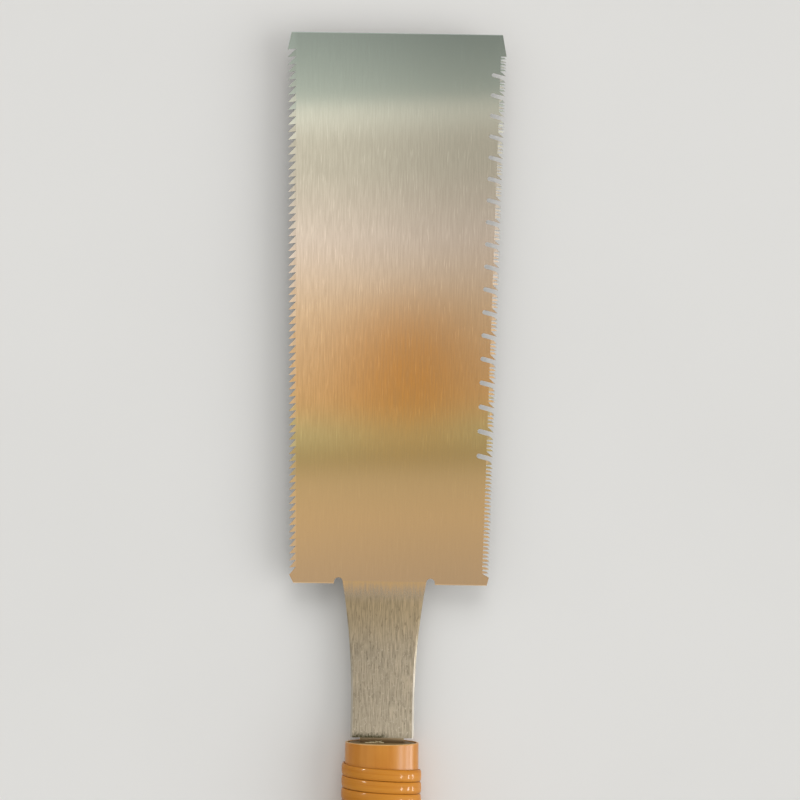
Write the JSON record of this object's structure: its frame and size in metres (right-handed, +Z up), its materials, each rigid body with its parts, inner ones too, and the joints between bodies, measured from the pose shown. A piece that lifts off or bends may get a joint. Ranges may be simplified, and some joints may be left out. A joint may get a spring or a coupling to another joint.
{
  "type": "ryoba saw",
  "caption": "Double-edged pull saw: a thin plate with rip teeth on one edge and fine crosscut teeth with raker windows on the other, on a long handle wound with rattan.",
  "frame": {"origin": "on the surface that the saw lies on, under the handle's axis, halfway between the toe and the butt", "axes": "+Y along the saw from the butt to the toe, +X towards the crosscut edge, +Z up, square to the plate"},
  "size_m": [0.0999, 0.6414, 0.0279],
  "materials": {
    "steel": "ground along the blade, fine lengthwise lines, satin",
    "handle_wood": "pale close-grained wood, oiled",
    "collar": "smooth orange, glossy",
    "rattan": "split rattan strip, orange lacquer, glossy"
  },
  "bodies": {
    "root": {"saw_blade": "steel", "handle_core_upper": "handle_wood", "handle_core_lower": "handle_wood", "front_collar": "collar", "rattan_wrap": "rattan"}
  },
  "joints": []
}
